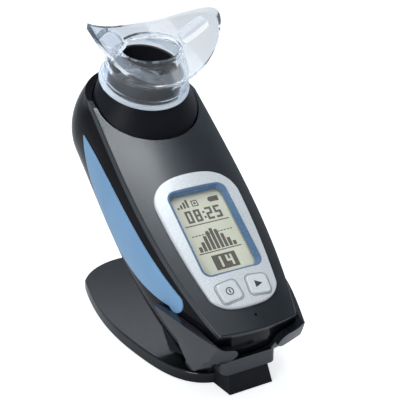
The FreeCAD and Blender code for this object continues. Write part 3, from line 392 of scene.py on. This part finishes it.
def make_screen():
    # The panel of the display: a slab whose face is divided into the raster's cells
    back, front = (span - display.dot(outward) for span in reach("lcd_panel", outward))
    front -= screen_sink
    low_y, high_y = (span - display.dot(upward) for span in reach("lcd_panel", upward))
    half_x = reach("lcd_panel", across)[1]
    marks = screen_cells()
    columns = [(i - screen_columns / 2) * cell for i in range(screen_columns + 1)]
    rows = [(screen_rows / 2 - i) * cell for i in range(screen_rows + 1)]
    columns = [-half_x, *columns, half_x]
    rows = [high_y, *rows, low_y]
    build = bmesh.new()
    grid = [[build.verts.new(on_handset(x, y, front)) for x in columns] for y in rows]
    for r in range(len(rows) - 1):
        for c in range(len(columns) - 1):
            face = build.faces.new((grid[r + 1][c], grid[r + 1][c + 1], grid[r][c + 1],
                                    grid[r][c]))
            # The raster starts one cell in, inside a plain rim
            face.material_index = 1 if (c - 1, r - 1) in marks else 0
    sides = [edge for edge in build.edges if edge.is_boundary]
    skirt = bmesh.ops.extrude_edge_only(build, edges=sides)["geom"]
    low_points = [part for part in skirt if isinstance(part, bmesh.types.BMVert)]
    bmesh.ops.translate(build, vec=outward * (back - front), verts=low_points)
    open_edges = [edge for edge in build.edges if edge.is_boundary]
    bmesh.ops.holes_fill(build, edges=open_edges, sides=0)
    piece = make_piece("lcd_screen", build, "handset", [screen_ground, screen_mark])
    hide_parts("lcd_panel")


# Keys: a grey line of painted shade on the frame round each, standing for the shaded gap round
# the key, and a symbol on it, a ring with a bar or a triangle

# Middle of each key across the handset, and its turn in degrees
key_row_y = -29.2 * mm
key_places = {"power": (-7.0 * mm, 6.0), "play": (6.6 * mm, -6.0)}

key_half_x, key_half_y, key_corner = 5.0 * mm, 4.7 * mm, 2.1 * mm
corner_steps = 6
# Width and rise of the painted shade line round each key, and where its search for the frame
# starts
gap_shade_width = 0.36 * mm
gap_shade_rise = 0.05 * mm
gap_shade_search = 10.0 * mm
print_height = 0.06 * mm
print_sink = 0.03 * mm
ring_radius, ring_stroke, ring_points = 1.75 * mm, 0.42 * mm, 48
bar_half_width, bar_half_length = 0.24 * mm, 0.85 * mm
triangle_half_length, triangle_half_width = 1.6 * mm, 1.6 * mm


def on_key(key, points):
    # Points round the middle of a key, turned with it and put in its place on the handset
    middle_x, turn = key_places[key]
    spin = Matrix.Rotation(math.radians(turn), 2)
    return [Vector((middle_x, key_row_y)) + spin @ Vector(point) for point in points]


def key_outline(grown):
    half_x, half_y, corner = key_half_x + grown, key_half_y + grown, key_corner + grown
    points = []
    for quarter, (sign_x, sign_y) in enumerate(((1, 1), (-1, 1), (-1, -1), (1, -1))):
        for step in range(corner_steps + 1):
            angle = math.radians(90 * (quarter + step / corner_steps))
            points.append((sign_x * (half_x - corner) + corner * math.cos(angle),
                           sign_y * (half_y - corner) + corner * math.sin(angle)))
    return points


def circle(radius):
    angles = [2 * math.pi * i / ring_points for i in range(ring_points)]
    return [(radius * math.cos(angle), radius * math.sin(angle)) for angle in angles]


def make_gap_shade(key):
    # A thin grey line laid on the frame round one key: painted shade of the gap between key and
    # frame
    bezel = nodes["display_bezel"].data
    surface = BVHTree.FromPolygons([point.co for point in bezel.vertices],
                                   [face.vertices for face in bezel.polygons])
    build = bmesh.new()
    rings = []
    for grown in (0.0, gap_shade_width):
        low, high = [], []
        for x, y in on_key(key, key_outline(grown)):
            hit = surface.ray_cast(on_handset(x, y, gap_shade_search), -outward)[0]
            low.append(build.verts.new(hit - outward * gap_shade_rise))
            high.append(build.verts.new(hit + outward * gap_shade_rise))
        rings.append((low, high))
    (low_inner, high_inner), (low_outer, high_outer) = rings
    skin_ring(build, low_outer, low_inner, high_outer, high_inner)
    make_piece(f"{key}_gap_shade", build, "handset", [key_gap_shade])


def make_symbol(key, outlines):
    # Closed outlines, each with its hole if it has one, raised a little on the key's top
    body = f"{key}_button"
    low = reach(body, outward)[1] - display.dot(outward) - print_sink
    high = low + print_height + print_sink
    build = bmesh.new()
    for outer, inner in outlines:
        low_outer, low_inner, high_outer, high_inner = [
            [build.verts.new(on_handset(x, y, height)) for x, y in on_key(key, loop)]
            for height in (low, high) for loop in (outer, inner)]
        if inner:
            skin_ring(build, low_outer, low_inner, high_outer, high_inner)
        else:
            skin_plate(build, low_outer, high_outer)
    make_piece(f"{key}_symbol", build, body, [dark_print])


# Camera, solved from the photo: the origin of that solution as the camera sees it, and where
# that origin lies in the frame

azimuth = math.radians(-29.57)
elevation = math.radians(23.8)
origin_from_camera = Vector((21.18, -78.24, -437.65)) * mm
solved_origin = Vector((0.0, -62.1 * mm, 0.0))
sensor_width = 36.0
focal_length = 95.4


def add_object(name, data):
    thing = bpy.data.objects.new(name, data)
    bpy.context.scene.collection.objects.link(thing)
    return thing


def make_camera():
    right = Vector((math.cos(azimuth), math.sin(azimuth), 0.0))
    back = Vector((math.sin(azimuth) * math.cos(elevation),
                   -math.cos(azimuth) * math.cos(elevation), math.sin(elevation)))
    up = back.cross(right)
    turn = Matrix((right, up, back)).transposed()
    data = bpy.data.cameras.new("camera")
    data.sensor_width = sensor_width
    data.lens = focal_length
    camera = add_object("camera", data)
    place = solved_origin - turn @ origin_from_camera
    camera.matrix_world = Matrix.Translation(place) @ turn.to_4x4()
    bpy.context.scene.camera = camera


# Floor, lamps and world

white = (1.0, 1.0, 1.0)
floor_half_size = 3.0
floor_level, floor_rough = 0.8, 0.9

# Glow of the floor to the camera and to rays through glass
floor_lift, glass_lift = 0.68, 0.16

# Name, place, target, width and height, power
lamps = (("overhead", (0.02, 0.08, 0.62), (0.0, 0.02, 0.08), (0.34, 0.34), 1.7),
         ("left", (-0.65, -0.40, 0.35), (0.0, 0.0, 0.07), (0.35, 0.5), 2.4))
lamp_colour = (0.94, 0.98, 1.0)

# Brightness of the studio in glossy surfaces, by how far a direction points up: at and below
# the horizon, straight up, and between them
studio_horizon, studio_top = 1.0, 1.7
studio_bands = ((0.25, 0.8), (0.36, 0.22), (0.46, 0.25), (0.51, 1.3), (0.57, 1.3),
                (0.66, 0.15), (0.86, 0.2), (0.94, 1.7))
studio_tint = (0.88, 0.96, 1.06)

# Share of it left in front of the object, and the directions between which it rises to all
front_dim = 0.15
front_dim_y, front_bright_y = -0.5, 0.25

# Light on rough surfaces, and brightness of the background in glass
fill_level = 0.45
glass_level = 0.88


def grey(level):
    return level, level, level, 1.0


def make_floor():
    # White to the camera and in glass, and it keeps the object's shadow
    mesh = bpy.data.meshes.new("floor")
    far = floor_half_size
    mesh.from_pydata([(-far, -far, 0), (far, -far, 0), (far, far, 0), (-far, far, 0)], [],
                     [(0, 1, 2, 3)])
    floor = add_object("floor", mesh)
    material, tree, shader = new_material("floor_white")
    shader.inputs["Base Color"].default_value = grey(floor_level)
    shader.inputs["Roughness"].default_value = floor_rough
    shader.inputs["Specular IOR Level"].default_value = 0.0
    shader.inputs["Emission Color"].default_value = (*white, 1.0)
    path = tree.nodes.new("ShaderNodeLightPath")
    lift = add_math(tree, "ADD",
                    add_math(tree, "MULTIPLY", path.outputs["Is Camera Ray"], floor_lift),
                    add_math(tree, "MULTIPLY", path.outputs["Is Transmission Ray"], glass_lift))
    tree.links.new(lift, shader.inputs["Emission Strength"])
    mesh.materials.append(material)


def make_lamp(name, place, target, size, power):
    data = bpy.data.lights.new(name, "AREA")
    data.shape = "RECTANGLE"
    data.size, data.size_y = size
    data.energy = power
    data.color = lamp_colour
    lamp = add_object(name, data)
    lamp.location = place
    lamp.rotation_euler = (Vector(target) - Vector(place)).to_track_quat("-Z", "Y").to_euler()


def make_world():
    # White behind the object and in glass, a soft studio gradient in glossy surfaces
    world = bpy.data.worlds.new("studio")
    bpy.context.scene.world = world
    world.use_nodes = True
    tree = world.node_tree
    background = tree.nodes["Background"]
    path = tree.nodes.new("ShaderNodeLightPath")
    place = tree.nodes.new("ShaderNodeTexCoord")
    split = tree.nodes.new("ShaderNodeSeparateXYZ")
    tree.links.new(place.outputs["Generated"], split.inputs["Vector"])

    # The studio: bands of light above each other, dimmed in front of the object
    ramp = tree.nodes.new("ShaderNodeValToRGB")
    stops = ramp.color_ramp.elements
    stops[0].color = grey(studio_horizon)
    stops[1].color = grey(studio_top)
    for upness, level in studio_bands:
        stops.new(upness).color = grey(level)
    tree.links.new(split.outputs["Z"], ramp.inputs["Fac"])
    front = add_range(tree, split.outputs["Y"], front_dim, 1.0, front_dim_y, front_bright_y)
    studio = add_math(tree, "MULTIPLY", ramp.outputs["Color"], front)

    # Rays that see white: from the camera, through glass, and mirrored after glass
    mirrored = add_math(tree, "MINIMUM", path.outputs["Transmission Depth"],
                        path.outputs["Is Glossy Ray"])
    through = add_math(tree, "MAXIMUM", path.outputs["Is Transmission Ray"], mirrored)
    seen = add_math(tree, "MAXIMUM", path.outputs["Is Camera Ray"],
                    add_math(tree, "MULTIPLY", through, glass_level))

    # The others see the studio if they are glossy, and an even fill if not
    glossy = add_math(tree, "MULTIPLY", path.outputs["Is Glossy Ray"],
                      add_math(tree, "SUBTRACT", studio, fill_level))
    lit = add_math(tree, "ADD", glossy, fill_level)
    unseen = add_math(tree, "MULTIPLY", lit, add_math(tree, "SUBTRACT", 1.0, seen))
    tree.links.new(add_math(tree, "ADD", unseen, seen), background.inputs["Strength"])
    tree.links.new(add_mix(tree, seen, studio_tint, white), background.inputs["Color"])


make_screen()
make_symbol("power", [
    (circle(ring_radius), circle(ring_radius - ring_stroke)),
    ([(-bar_half_width, -bar_half_length), (bar_half_width, -bar_half_length),
      (bar_half_width, bar_half_length), (-bar_half_width, bar_half_length)], [])])
make_symbol("play", [
    ([(-triangle_half_length, -triangle_half_width), (triangle_half_length, 0.0),
      (-triangle_half_length, triangle_half_width)], [])])
# Painted shade of the gap round each key
make_gap_shade("power")
make_gap_shade("play")
make_camera()
make_floor()
make_world()
for lamp in lamps:
    make_lamp(*lamp)

scene = bpy.context.scene
scene.view_settings.view_transform = "Standard"
